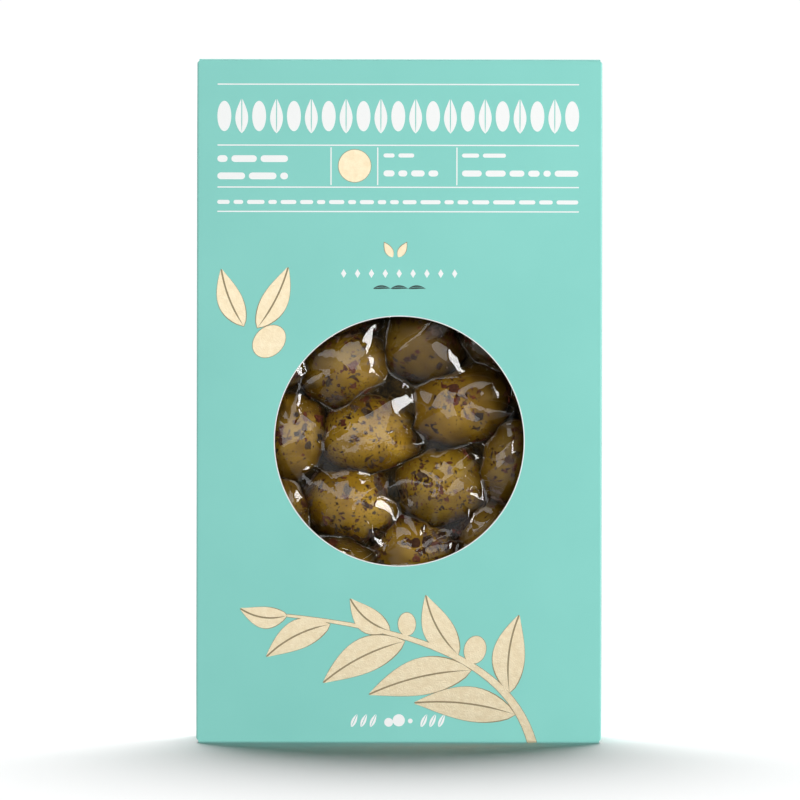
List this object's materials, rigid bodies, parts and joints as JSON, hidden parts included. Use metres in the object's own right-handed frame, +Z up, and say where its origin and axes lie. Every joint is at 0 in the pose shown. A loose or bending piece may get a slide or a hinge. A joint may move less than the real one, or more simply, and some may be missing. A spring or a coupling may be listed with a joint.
{
  "type": "windowed carton of green olives",
  "caption": "Upright folding carton with a round window in its front, holding a clear vacuum pouch of whole green olives with herbs.",
  "frame": {"origin": "middle of the carton's base, on the surface that it stands on", "axes": "+Z up, the front panel with the window faces -Y, +X to the right of someone looking at the front"},
  "size_m": [0.1208, 0.03, 0.202],
  "materials": {
    "carton_board": "smooth printed board, satin, with gold foil stamping",
    "pouch_film": "clear glossy film drawn down over khaki green olives, dark herbs and oil"
  },
  "bodies": {
    "root": {"carton": "carton_board", "pouch": "pouch_film"}
  },
  "joints": []
}
